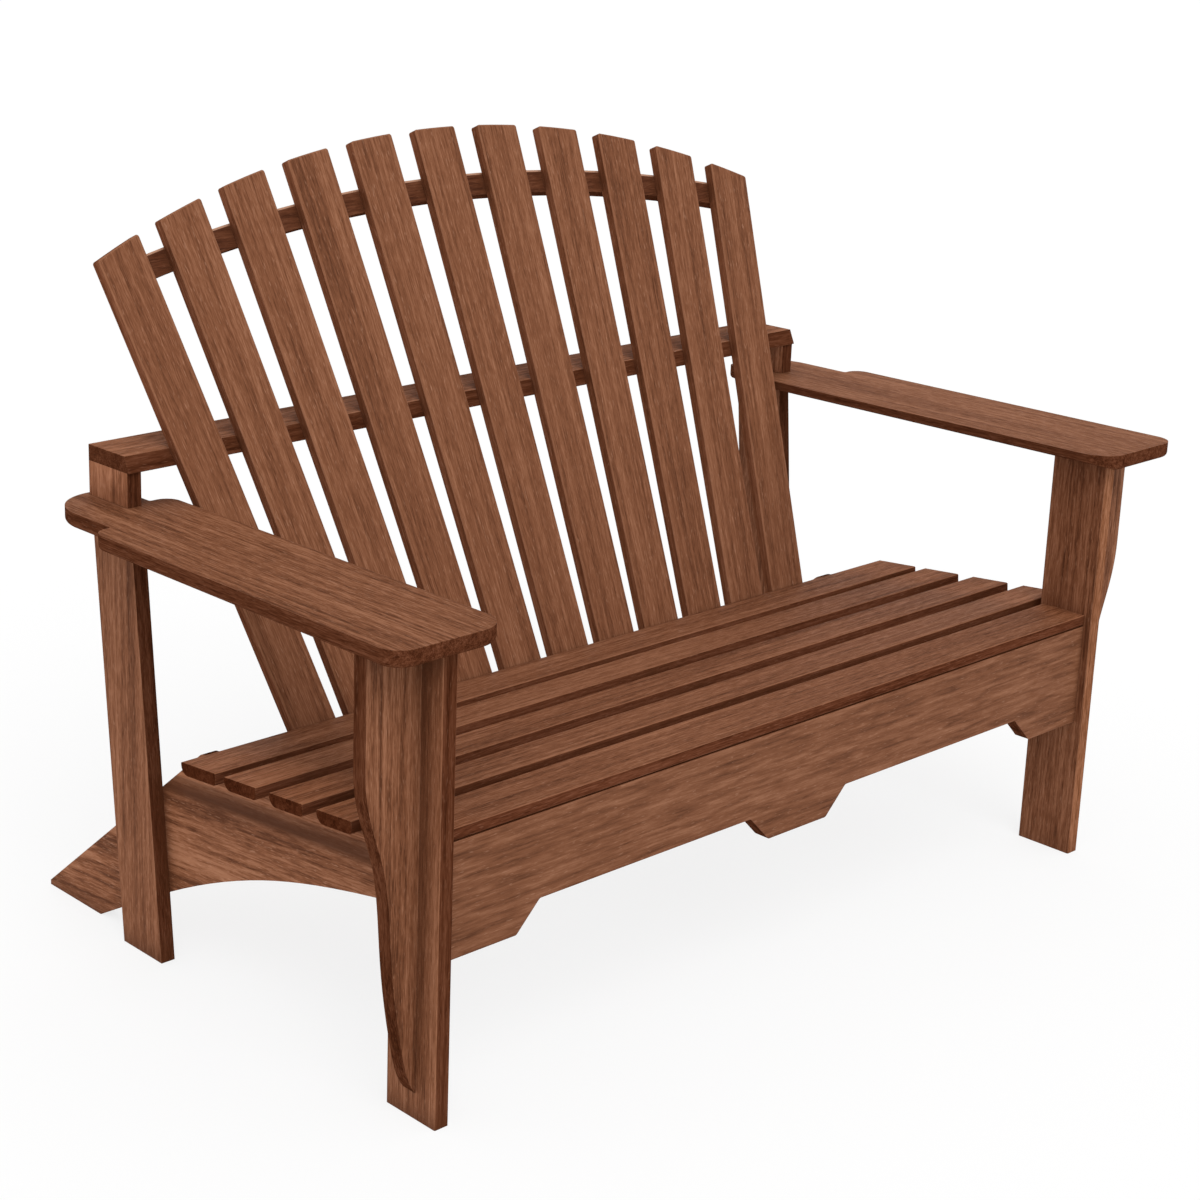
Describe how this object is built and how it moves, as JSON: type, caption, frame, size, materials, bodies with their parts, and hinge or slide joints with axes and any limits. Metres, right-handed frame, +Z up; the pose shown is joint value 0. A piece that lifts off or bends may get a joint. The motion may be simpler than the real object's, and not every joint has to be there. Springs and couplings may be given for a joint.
{
  "type": "adirondack loveseat",
  "caption": "Wide two-person garden seat of flat wooden boards with a leaning fan of back slats, a sloping slatted seat, broad flat arms and rails that run back to the floor.",
  "frame": {"origin": "centre of the footprint's bounding box, on the floor", "axes": "+X to the right along the seat's width as seen from the front, +Y from the front to the back, +Z up"},
  "size_m": [1.506, 0.905, 1.0652],
  "materials": {
    "seat_boards": "stained, satin",
    "back_slats": "stained, satin",
    "cross_boards": "stained, satin",
    "upright_boards": "stained, satin",
    "lengthwise_boards": "stained, satin"
  },
  "bodies": {
    "root": {"seat_slat_1": "seat_boards", "seat_slat_2": "seat_boards", "seat_slat_3": "seat_boards", "seat_slat_4": "seat_boards", "seat_slat_5": "seat_boards", "back_slat_01": "back_slats", "back_slat_02": "back_slats", "back_slat_03": "back_slats", "back_slat_04": "back_slats", "back_slat_05": "back_slats", "back_slat_06": "back_slats", "back_slat_07": "back_slats", "back_slat_08": "back_slats", "back_slat_09": "back_slats", "back_slat_10": "back_slats", "back_slat_11": "back_slats", "front_apron": "cross_boards", "mid_back_rail": "cross_boards", "upper_back_rail": "cross_boards", "lower_back_rail": "cross_boards", "front_leg_left": "upright_boards", "front_leg_right": "upright_boards", "rear_post_left": "upright_boards", "rear_post_right": "upright_boards", "arm_bracket_left": "upright_boards", "arm_bracket_right": "upright_boards", "back_rail_riser_left": "upright_boards", "back_rail_riser_right": "upright_boards", "arm_left": "lengthwise_boards", "arm_right": "lengthwise_boards", "side_rail_left": "lengthwise_boards", "side_rail_right": "lengthwise_boards", "centre_seat_support": "lengthwise_boards"}
  },
  "joints": []
}
